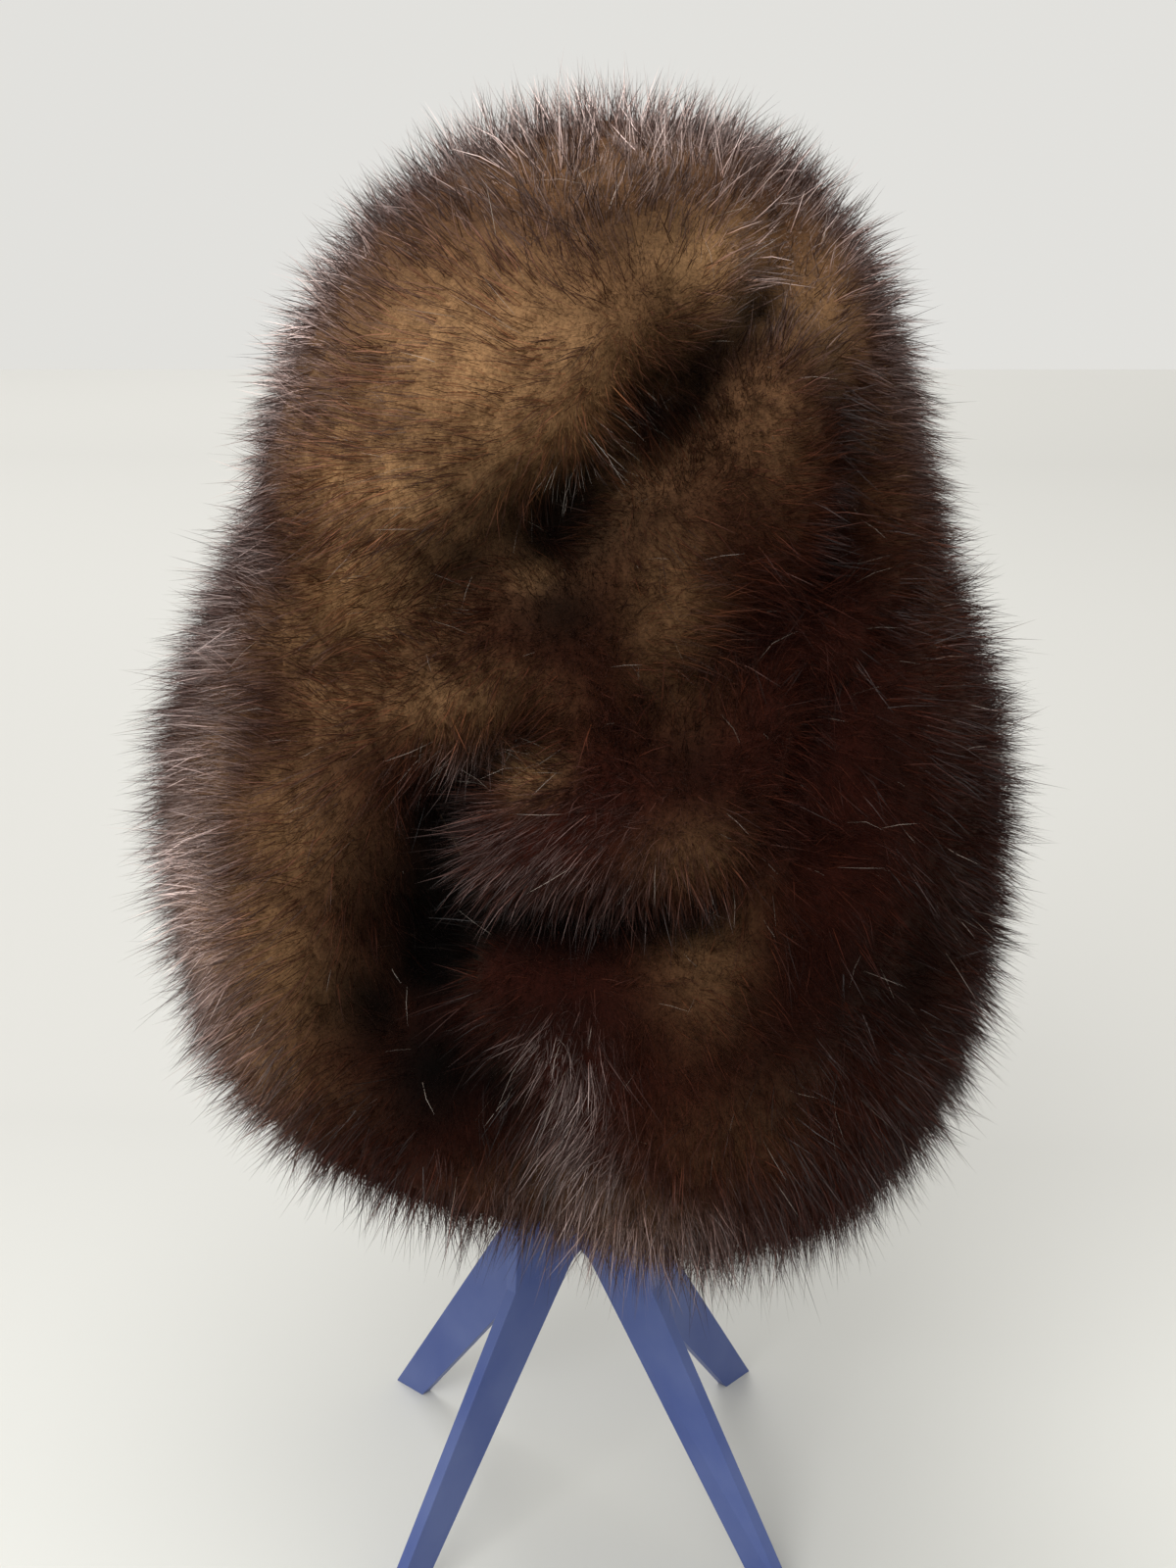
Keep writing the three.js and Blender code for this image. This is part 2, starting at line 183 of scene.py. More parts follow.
@dataclass
class HatForm:
    """The shape of the hat: a profile swept round its height, dented by folds and raised by lobes."""

    hide_wall: float = 3.0
    gap: float = 0.5
    rim_tilt: float = 15.0
    tilt_rows: float = 4.0
    relief_in_hide: float = 0.25
    thinnest_pad: float = 1.6
    edge_rounding: float = 1.3
    edge_crease: Range = (3.5, 7.0)
    fine_count: int = 1201
    sections: tuple[Section, ...] = table_of(
        Section, (163, 84, 95, 0.5, -80, 2, 8), (174, 85, 96, 0, -60, 6, 15),
        (185, 84.5, 95.5, -0.5, -38, 9, 18.5), (200, 84, 95, -0.5, -18, 12, 20),
        (230, 84, 95, 0, 0, 14, 20.5), (260, 83.5, 94.5, 0, 11, 13.5, 20), (290, 81.5, 91, 0, 18, 8, 18.5),
        (320, 77, 85.5, 0.5, 17, 2, 17.5), (350, 71, 78, 1, 15, 0, 17), (375, 63, 69.5, 2.5, 30, 0, 17),
        (395, 51, 56, 5.5, 51, 0, 17), (409.5, 33, 36, 8, 71, 0, 17), (417.5, 0, 0, 9, 90, 0, 17),
    )
    cuff_edge: tuple[Range, ...] = (
        (-180, 325), (-90, 329), (-55, 320), (-32, 296), (-16, 258), (0, 249),
        (16, 253), (32, 292), (55, 313), (90, 320), (180, 325),
    )
    folds: tuple[Fold, ...] = table_of(
        Fold, ((40, 400), (12, 371), 15, 12), ((14, 373), (-6, 345), 20, 12),
        ((-8, 343), (-38, 311), 8, 12), ((54, 358), (44, 334), 8, 13), ((42, 331), (8, 302), 8, 13),
        ((-9, 294), (-20, 276), 13, 11), ((-21, 273), (-23, 244), 19, 13), ((-18, 248), (16, 250), 14, 11),
        ((-24, 238), (-29, 216), 12, 15), ((-20, 231), (-6, 168), 10, 15), ((34, 298), (24, 230), 6, 14),
        ((48, 224), (34, 196), 5, 14), ((150, 395), (196, 352), 11, 14), ((-120, 372), (-142, 338), 7, 16),
        ((168, 300), (176, 176), 7, 16), ((-98, 292), (-88, 196), 4, 16),
    )
    lobes: tuple[Spot, ...] = table_of(
        Spot, (-22, 372, 36, 26, 5), (32, 346, 18, 32, 5), (-2, 272, 30, 13, 7), (-42, 246, 26, 36, 5),
        (16, 196, 30, 18, 4), (50, 262, 24, 30, 3), (188, 380, 34, 22, 4),
    )

    def __post_init__(self) -> None:
        """Puts the tables into arrays and notes the height of the fur's face at each fractional row."""
        self.names = [column.name for column in fields(Section)]
        self.table = np.array([astuple(section) for section in self.sections], float)
        self.edge_table = np.array(self.cuff_edge, float)
        self.last_row = len(self.sections) - 1.0
        self.fine_rows = np.linspace(0, self.last_row, self.fine_count)
        self.face_heights = self.section(self.fine_rows)["face_height"]

    def section(self, row: Array) -> dict[str, Array]:
        """The section table at fractional rows, with the height and radius of the dense fur's face.

        Args:
            row: Fractional rows of the profile.

        Returns:
            Arrays by the names of the columns, with face_height and face_radius.
        """
        columns = np.moveaxis(smooth_rows(self.table, row), -1, 0)
        found = dict(zip(self.names, columns))
        found["pad"] = np.maximum(found["pad"], 0.0)
        found["lean"] = np.radians(found["lean"])
        stack = self.hide_wall + 2 * self.gap + found["pad"] + found["fur"]
        found["face_height"] = found["height"] + stack * np.sin(found["lean"])
        found["face_radius"] = found["width"] + stack * np.cos(found["lean"])
        return found

    def edge_row(self, degrees: Array) -> Array:
        """The fractional row of the cuff's upper edge at azimuths in degrees.

        Args:
            degrees: Azimuths from the front towards +X.

        Returns:
            Fractional rows of the profile.
        """
        degrees = wrapped(degrees)
        knots = self.edge_table[:, 0]
        low = np.clip(np.searchsorted(knots, degrees) - 1, 0, len(knots) - 2)
        part = (degrees - knots[low]) / (knots[low + 1] - knots[low])
        height = smooth_rows(self.edge_table[:, 1:], low + part)[..., 0]
        return np.interp(height, self.face_heights, self.fine_rows)

    def relief(self, degrees: Array, row: Array) -> Array:
        """How far the fur's face rises: the lobes, less a bell-shaped groove along each fold.

        Args:
            degrees: Azimuths from the front towards +X.
            row: Fractional rows of the profile.

        Returns:
            The rise in millimetres along the lean of the fur.
        """
        at = self.section(row)
        height, radius = at["face_height"], at["face_radius"]
        rise = np.zeros_like(height)
        for lobe in self.lobes:
            rise += lobe.weight(degrees, height, radius)
        for fold in self.folds:
            x = np.radians(wrapped(degrees - fold.start[0])) * radius
            z = height - fold.start[1]
            run_x = np.radians(fold.end[0] - fold.start[0]) * radius
            run_z = fold.end[1] - fold.start[1]
            along = np.clip((x * run_x + z * run_z) / (run_x**2 + run_z**2), 0, 1)
            away = np.hypot(x - along * run_x, z - along * run_z) / fold.width
            rise -= fold.depth * np.exp(-away * away)
        depth, width = self.edge_crease
        edge_height = np.interp(self.edge_row(degrees), self.fine_rows, self.face_heights)
        return rise - depth * np.exp(-(((height - edge_height) / width) ** 2))

    def place(self, degrees: Array, row: Array) -> Place:
        """Everything known of places given by azimuth and fractional row.

        Args:
            degrees: Azimuths from the front towards +X.
            row: Fractional rows of the profile.

        Returns:
            The places.
        """
        degrees, row = np.broadcast_arrays(np.asarray(degrees, float), np.asarray(row, float))
        at = self.section(row)
        cover = eased(np.clip((self.edge_row(degrees) - row) / self.edge_rounding, 0, 1))
        azimuth = np.radians(degrees)
        at["height"] = at["height"] - self.rim_tilt * np.sin(azimuth) * np.maximum(
            1 - row / self.tilt_rows, 0)
        at["slack"] = at["pad"] * (1 - cover)
        at["pad"] = np.maximum(at["pad"] * cover, self.thinnest_pad)
        return Place(azimuth=azimuth, row=row, relief=self.relief(degrees, row), **at)

    @staticmethod
    def point(place: Place, distance: Array) -> Array:
        """Points that lie a distance outwards from the profile, along the lean of the fur.

        Args:
            place: Where on the hat.
            distance: How far from the profile, in millimetres.

        Returns:
            The points along a last axis of 3.
        """
        across = distance * np.cos(place.lean)
        return np.stack([
            place.shift + (place.width + across) * np.sin(place.azimuth),
            -(place.depth + across) * np.cos(place.azimuth),
            place.height + distance * np.sin(place.lean),
        ], axis=-1)

    def hide_inside(self, place: Place) -> Array:
        """How far out the inner side of the hide lies."""
        return place.slack + place.relief * self.relief_in_hide

    def hide_outside(self, place: Place) -> Array:
        """How far out the outer side of the hide lies."""
        return self.hide_inside(place) + self.hide_wall

    def backing(self, place: Place, zone: Zone) -> Array:
        """How far out the fur's backing lies, on the hide or on the cuff."""
        on_cuff = place.pad + self.gap if zone is Zone.CUFF else 0.0
        return self.hide_outside(place) + self.gap + on_cuff

    def face(self, place: Place, zone: Zone) -> Array:
        """How far out the face of the dense fur lies."""
        pad = place.pad if zone is Zone.CUFF else 0.0
        return self.hide_wall + 2 * self.gap + place.slack + place.relief + place.fur + pad

    def rows_of(self, zone: Zone, degrees: Array, share: Array) -> Array:
        """The fractional row a share of the way up a zone, from 0 at its lower edge to 1 at its upper.

        Args:
            zone: The part of the hat that bears the fur.
            degrees: Azimuths.
            share: The shares.

        Returns:
            Fractional rows of the profile.
        """
        edge = self.edge_row(degrees)
        if zone is Zone.CUFF:
            return edge * share
        return edge + (self.last_row - edge) * share


@dataclass
class Noise:
    """Smooth random vectors in space, blended between the points of a lattice that repeats."""

    seed: int
    cells: int = 24
    gain: float = 1.7

    def __post_init__(self) -> None:
        """Draws the lattice, with a number of cells along each side."""
        shape = (self.cells, self.cells, self.cells, 3)
        self.lattice = np.random.default_rng(self.seed).standard_normal(shape)

    def at(self, points: Array, scale: float) -> Array:
        """A vector at each point, of unit spread, that changes over about one scale in millimetres.

        The eight lattice vectors round a point are blended by the smooth step of its place between them.

        Args:
            points: Points along a last axis of 3.
            scale: The size of the noise.

        Returns:
            The vectors.
        """
        spot = points / scale
        low = np.floor(spot).astype(int)
        part = eased(spot - low)
        total = np.zeros_like(points)
        for corner in np.ndindex(2, 2, 2):
            step = np.array(corner)
            weight = np.prod(np.where(step, part, 1 - part), axis=-1, keepdims=True)
            at = (low + step) % self.cells
            total += weight * self.lattice[at[..., 0], at[..., 1], at[..., 2]]
        return total * self.gain


def mesh_piece(name: str, points: Array, faces: list[Array], finish: Material,
               uv: Array | None = None) -> Piece:
    """An object at the origin with a mesh of points in millimetres.

    Args:
        name: The piece's name.
        points: An array of points.
        faces: Arrays of corners, each with faces of one number of sides.
        finish: Its material.
        uv: Two numbers for each point, or None.

    Returns:
        The new object, linked to the scene.
    """
    corners = np.concatenate([f.reshape(-1) for f in faces])
    sides = np.concatenate([np.full(len(f), f.shape[1]) for f in faces])
    mesh = bpy.data.meshes.new(name)
    mesh.vertices.add(len(points))
    mesh.vertices.foreach_set("co", (points * MM).astype(np.float32).reshape(-1))
    mesh.loops.add(len(corners))
    mesh.loops.foreach_set("vertex_index", corners.astype(np.int32))
    mesh.polygons.add(len(sides))
    mesh.polygons.foreach_set("loop_start", (np.cumsum(sides) - sides).astype(np.int32))
    if uv is not None:
        layer = mesh.uv_layers.new(name="UVMap")
        layer.uv.foreach_set("vector", uv[corners].astype(np.float32).reshape(-1))
    mesh.update(calc_edges=True)
    mesh.validate()
    mesh.materials.append(finish)
    piece = bpy.data.objects.new(name, mesh)
    bpy.context.scene.collection.objects.link(piece)
    return piece


def set_attribute(piece: Piece, name: str, values: Array) -> None:
    """Writes one number for each point of a piece's mesh, for its material to read."""
    layer = piece.data.attributes.new(name, "FLOAT", "POINT")
    layer.data.foreach_set("value", values.astype(np.float32))


def ring_of(columns: int, more: int = 0) -> Array:
    """A row of azimuths in degrees, evenly round the hat, with some more past the last of them."""
    return (np.arange(columns + more) * 360.0 / columns)[None]


def ring_faces(rows: int, columns: int, offset: int = 0) -> Array:
    """Quads of a grid of points that is closed round its columns, facing out when rows go upwards.

    Args:
        rows: How many rows of points.
        columns: How many columns.
        offset: The first point's number.

    Returns:
        Four corners for each quad.
    """
    index = offset + np.arange(rows * columns).reshape(rows, columns)
    right = np.roll(index, -1, axis=1)
    quads = np.stack([index[:-1], right[:-1], right[1:], index[1:]], axis=-1)
    return quads.reshape(-1, 4)


def wall_piece(name: str, outer: Array, inner: Array, closed_top: bool, finish: Material) -> Piece:
    """A closed wall between two grids of points, each with rows from the bottom up and closed columns.

    Args:
        name: The piece's name.
        outer: The outer grid, rows by columns by 3.
        inner: The inner grid, with the same columns and any number of rows.
        closed_top: Whether both end in a pole, the mean of their last row, and not in an open edge.
        finish: Its material.

    Returns:
        The new object, with U round the columns and V up the rows.
    """
    rows, columns = outer.shape[:2]
    inner_rows = len(inner)
    start = rows * columns
    points = [outer.reshape(-1, 3), inner.reshape(-1, 3)]
    faces = [ring_faces(rows, columns), ring_faces(inner_rows, columns, start)[:, ::-1]]
    across = np.arange(columns)
    beside = np.roll(across, -1)
    low_in, high_in, high_out = start, start + (inner_rows - 1) * columns, (rows - 1) * columns
    faces.append(np.stack([low_in + across, low_in + beside, beside, across], axis=-1))
    if closed_top:
        pole = start + inner_rows * columns
        points.append(np.stack([outer[-1].mean(0), inner[-1].mean(0)]))
        tip = np.full(columns, pole)
        faces.append(np.stack([high_out + across, high_out + beside, tip], axis=-1))
        faces.append(np.stack([high_in + beside, high_in + across, tip + 1], axis=-1))
    else:
        faces.append(np.stack(
            [high_out + across, high_out + beside, high_in + beside, high_in + across], axis=-1))
    u = np.concatenate([np.tile(across / columns, rows + inner_rows), np.zeros(2 * closed_top)])
    v = np.concatenate([
        np.repeat(np.linspace(0, 1, rows), columns),
        np.repeat(np.linspace(0, 1, inner_rows), columns),
        np.ones(2 * closed_top),
    ])
    piece = mesh_piece(name, np.concatenate(points), faces, finish, np.stack([u, v], axis=-1))
    piece.data.polygons.foreach_set("use_smooth", np.ones(len(piece.data.polygons), bool))
    return piece


def linear(hex_colour: str) -> Colour:
    """An sRGB hex colour as linear red, green and blue with alpha 1.

    Args:
        hex_colour: The colour as # and six digits.

    Returns:
        The colour.
    """
    s = np.array([int(hex_colour[i:i + 2], 16) for i in (1, 3, 5)]) / 255.0
    value = np.where(s <= 0.04045, s / 12.92, ((s + 0.055) / 1.055) ** 2.4)
    return (*(float(x) for x in value), 1.0)


def feed(tree: Tree, node: Node, inputs: dict) -> None:
    """Gives a node's inputs, by name or number, what is linked into them or their plain values.

    Args:
        tree: The node tree.
        node: The node.
        inputs: Input socket to an output socket or a plain value.
    """
    for key, value in inputs.items():
        if isinstance(value, Socket):
            tree.links.new(value, node.inputs[key])
        else:
            node.inputs[key].default_value = value


def add_node(tree: Tree, kind: str, inputs: dict | None = None, **settings) -> Node:
    """Adds a node to a tree, with its settings, its socket values and what is linked into it.

    Args:
        tree: The node tree.
        kind: The node's type name.
        inputs: Input socket, by name or number, to an output socket or a plain value.
        **settings: Attributes of the node, such as its operation.

    Returns:
        The node.
    """
    node = tree.nodes.new(kind)
    for name, value in settings.items():
        setattr(node, name, value)
    feed(tree, node, inputs or {})
    return node


def attribute_of(tree: Tree, name: str) -> Socket:
    """The number that the points of a mesh hold under a name."""
    return add_node(tree, "ShaderNodeAttribute", attribute_name=name).outputs["Fac"]


def product_of(tree: Tree, first: Socket, second: Socket, **settings) -> Socket:
    """Two numbers multiplied."""
    return add_node(
        tree, "ShaderNodeMath", {0: first, 1: second}, operation="MULTIPLY", **settings).outputs[0]


def remapped(tree: Tree, value: Socket, old: Range, new: Range) -> Socket:
    """A number moved from its old range to a new one, and held inside that."""
    return add_node(
        tree, "ShaderNodeMapRange", {0: value, 1: old[0], 2: old[1], 3: new[0], 4: new[1]}).outputs[0]


def mix_of(tree: Tree, share: Socket, first: Socket | Colour, second: Socket | Colour) -> Socket:
    """Two colours mixed, from the first at a share of 0 to the second at 1."""
    return add_node(tree, "ShaderNodeMix", {0: share, 6: first, 7: second}, data_type="RGBA").outputs[2]


def lit_by(tree: Tree, colour: Socket, light: Socket) -> Socket:
    """A colour made lighter where a light is above 1 and darker where it is below."""
    return add_node(tree, "ShaderNodeHueSaturation", {"Value": light, "Color": colour}).outputs["Color"]


def noise_of(tree: Tree, size: float, detail: float) -> Socket:
    """Noise of a size in millimetres on Object coordinates, which are in metres."""
    spot = add_node(tree, "ShaderNodeTexCoord").outputs["Object"]
    inputs = {"Vector": spot, "Scale": 1 / (size * MM), "Detail": detail}
    return add_node(tree, "ShaderNodeTexNoise", inputs).outputs["Fac"]


def bump_of(tree: Tree, height: Socket, strength: float, depth: float) -> Socket:
    """The normals of a surface that a height raises by a depth in millimetres."""
    inputs = {"Height": height, "Strength": strength, "Distance": depth * MM}
    return add_node(tree, "ShaderNodeBump", inputs).outputs["Normal"]


def ramp_of(tree: Tree, factor: Socket, stops: Stops) -> Socket:
    """Adds a colour ramp.

    Args:
        tree: The node tree.
        factor: Where the ramp is read.
        stops: Places on the ramp and hex colours.

    Returns:
        The ramp's colour output.
    """
    ramp = add_node(tree, "ShaderNodeValToRGB", {"Fac": factor})
    elements = ramp.color_ramp.elements
    while len(elements) < len(stops):
        elements.new(0.5)
    for element, (spot, colour) in zip(elements, stops):
        element.position = spot
        element.color = linear(colour)
    return ramp.outputs["Color"]


def new_material(name: str) -> tuple[Material, Tree, Node]:
    """A material with an empty Principled surface.

    Args:
        name: Its name.

    Returns:
        The material, its node tree and the Principled node.
    """
    material = bpy.data.materials.new(name)
    material.use_nodes = True
    tree = material.node_tree
    return material, tree, tree.nodes["Principled BSDF"]


@dataclass(frozen=True)
class HairFinish:
    """Dyed mink: hair from root to tip, in one colour where the coat is dark and another where golden.

    Where the coat has painted sheen, some of the hairs turn towards the painted highlight's colour up to
    their tips:
    a painted highlight for the haze and glints that light makes on guard hairs at grazing angles. Where the
    coat has painted shade, in its folds and on its shaded side, the hair darkens to in_fold.
    A hair's lightness goes from darkest to lightest by its own number to the power few_light.
    """

    name: str
    dark: Stops
    golden: Stops
    roughness: float
    specular: float
    sheen: float
    sheen_tint: str = "#A98A80"
    bloom: str = "#D2BFBA"
    bloom_most: float = 1.7
    darkest: float = 0.6
    lightest: float = 1.35
    few_light: float = 1.0
    in_fold: float = 0.05

    def make(self) -> Material:
        """The material. It reads V from root to tip, U as the hair's own number, gold, painted shade and
        painted sheen.
        """
        material, tree, surface = new_material(self.name)
        uv = add_node(tree, "ShaderNodeUVMap", uv_map="UVMap").outputs["UV"]
        hair = add_node(tree, "ShaderNodeSeparateXYZ", {0: uv})
        own, along = hair.outputs["X"], hair.outputs["Y"]
        dark, golden = ramp_of(tree, along, self.dark), ramp_of(tree, along, self.golden)
        mixed = mix_of(tree, attribute_of(tree, "gold"), dark, golden)
        # painted sheen: pale mauve-grey towards the tips where the coat catches the light
        outwards = product_of(tree, attribute_of(tree, "silver"), along)
        chosen = remapped(tree, own, UNIT_RANGE, (0.0, self.bloom_most))
        bloom = product_of(tree, outwards, chosen, use_clamp=True)
        rank = add_node(tree, "ShaderNodeMath", {0: own, 1: self.few_light}, operation="POWER").outputs[0]
        shade = remapped(tree, rank, UNIT_RANGE, (self.darkest, self.lightest))
        # painted shade: the hair darkens where the fold attribute is high
        painted_fold_shade = remapped(tree, attribute_of(tree, "fold"), UNIT_RANGE, (1.0, self.in_fold))
        colour = mix_of(tree, bloom, mixed, linear(self.bloom))
        feed(tree, surface, {
            "Base Color": lit_by(tree, colour, product_of(tree, shade, painted_fold_shade)), "Roughness": self.roughness,
            "Specular IOR Level": self.specular, "Sheen Weight": self.sheen,
            "Sheen Tint": linear(self.sheen_tint)})
        return material


@dataclass(frozen=True)
class WoolFinish:
    """The close face of mink underfur: velvety, in soft flecks, golden or dark."""

    dark: str = "#2E110B"
    golden: str = "#A37D57"
    fleck_mm: float = 0.8
    fleck_light: Range = (0.7, 1.2)
    cloud_mm: float = 9.0
    cloud_light: Range = (0.85, 1.12)
    fuzz_mm: float = 0.55
    fuzz_strength: float = 0.6
    fuzz_depth: float = 0.5
    in_fold: float = 0.02
    roughness: float = 0.95
    specular: float = 0.05
    sheen: float = 0.08
    sheen_tint: str = "#C9AE93"

    def make(self) -> Material:
        """The material, on Object coordinates in metres. It reads gold, and fold as painted shade."""
        material, tree, surface = new_material("mink_underfur_face")
        colour = mix_of(tree, attribute_of(tree, "gold"), linear(self.dark), linear(self.golden))
        flecks = noise_of(tree, self.fleck_mm, detail=2.0)
        clouds = noise_of(tree, self.cloud_mm, detail=2.0)
        fleck = remapped(tree, flecks, NOISE_RANGE, self.fleck_light)
        cloud = remapped(tree, clouds, NOISE_RANGE, self.cloud_light)
        # painted shade: the face darkens where the fold attribute is high
        painted_fold_shade = remapped(tree, attribute_of(tree, "fold"), UNIT_RANGE, (1.0, self.in_fold))
        light = product_of(tree, product_of(tree, fleck, cloud), painted_fold_shade)
        fuzz = noise_of(tree, self.fuzz_mm, detail=1.0)
        feed(tree, surface, {
            "Base Color": lit_by(tree, colour, light),
            "Normal": bump_of(tree, fuzz, self.fuzz_strength, self.fuzz_depth),
            "Roughness": self.roughness, "Specular IOR Level": self.specular, "Sheen Weight": self.sheen,
            "Sheen Tint": linear(self.sheen_tint)})
        return material


@dataclass(frozen=True)
class Comb:
    """A place where the hair has been stroked to lie: how far it leans towards +azimuth and upwards."""

    spot: Spot
    aside: float
    upward: float


@dataclass(frozen=True)
class HairKind:
    """One kind of hair: its finish, how many grow, how they stand, and their size in millimetres.

    root is how far below the body's face a hair starts, and beyond is how far its tip stands past the
    fur's face, give or take uneven. wave and clump turn it by smooth noise over wave_size and clump_size,
    and stray turns each hair by itself. Hairs grow in tufts of tuft, over a radius, and their tips draw
    together to a share, gather, of it. sparse is how far their number falls where the coat is golden, and
    trim is how much of the coat's trimming they take. A kind with patches grows mostly there.
    """

    name: str
    finish: str
    count: int
    root: float
    beyond: float
    uneven: float
    thickness: float
    wave: float
    clump: float
    stray: float
    curl: float
    steps: int
    tuft: int
    radius: float
    gather: float
    sparse: float
    trim: float
    wave_size: float = 20.0
    clump_size: float = 6.0
    patches: tuple[Spot, ...] = ()


HAIR_KINDS = (
    HairKind(
        "underfur", "underfur", count=150_000, root=1.0, beyond=-0.4, uneven=0.8, thickness=0.26, wave=0.10,
        clump=0.10, stray=0.46, curl=0.1, steps=1, tuft=2, radius=0.7, gather=0.9, sparse=-0.4,
        clump_size=3.0, trim=1.0),
    HairKind(
        "guard_hair", "guard", count=95_000, root=2.0, beyond=4.6, uneven=2.8, thickness=0.19, wave=0.15,
        clump=0.07, stray=0.15, curl=0.0, steps=1, tuft=2, radius=1.8, gather=0.15, sparse=0.5, trim=1.0),
    HairKind(
        "long_hair", "guard", count=26_000, root=2.0, beyond=8.5, uneven=3.4, thickness=0.27, wave=0.16,
        clump=0.11, stray=0.18, curl=0.07, steps=2, tuft=3, radius=2.4, gather=0.25, sparse=0.2, trim=0.1),
    # White hairs: stray undyed hairs, grown mostly in patches where the fur catches the light, so they are
    # partly painted glints.
    HairKind(
        "white_hair", "white", count=480, root=1.0, beyond=7.0, uneven=3.0, thickness=0.11, wave=0.16,
        clump=0.25, stray=0.25, curl=0.1, steps=2, tuft=1, radius=1.6, gather=0.0, sparse=0.0, trim=0.0,
        patches=table_of(
            Spot, (-5, 356, 8, 5, 0.8), (3, 367, 8, 5, 0.8), (12, 378, 8, 5, 0.5), (-15, 322, 4, 4, 0.9),
            (-20, 290, 7, 4, 1.6), (-7, 289, 7, 5, 1.4), (-3, 217, 5, 7, 0.8), (-64, 300, 16, 30, 0.2))),
)


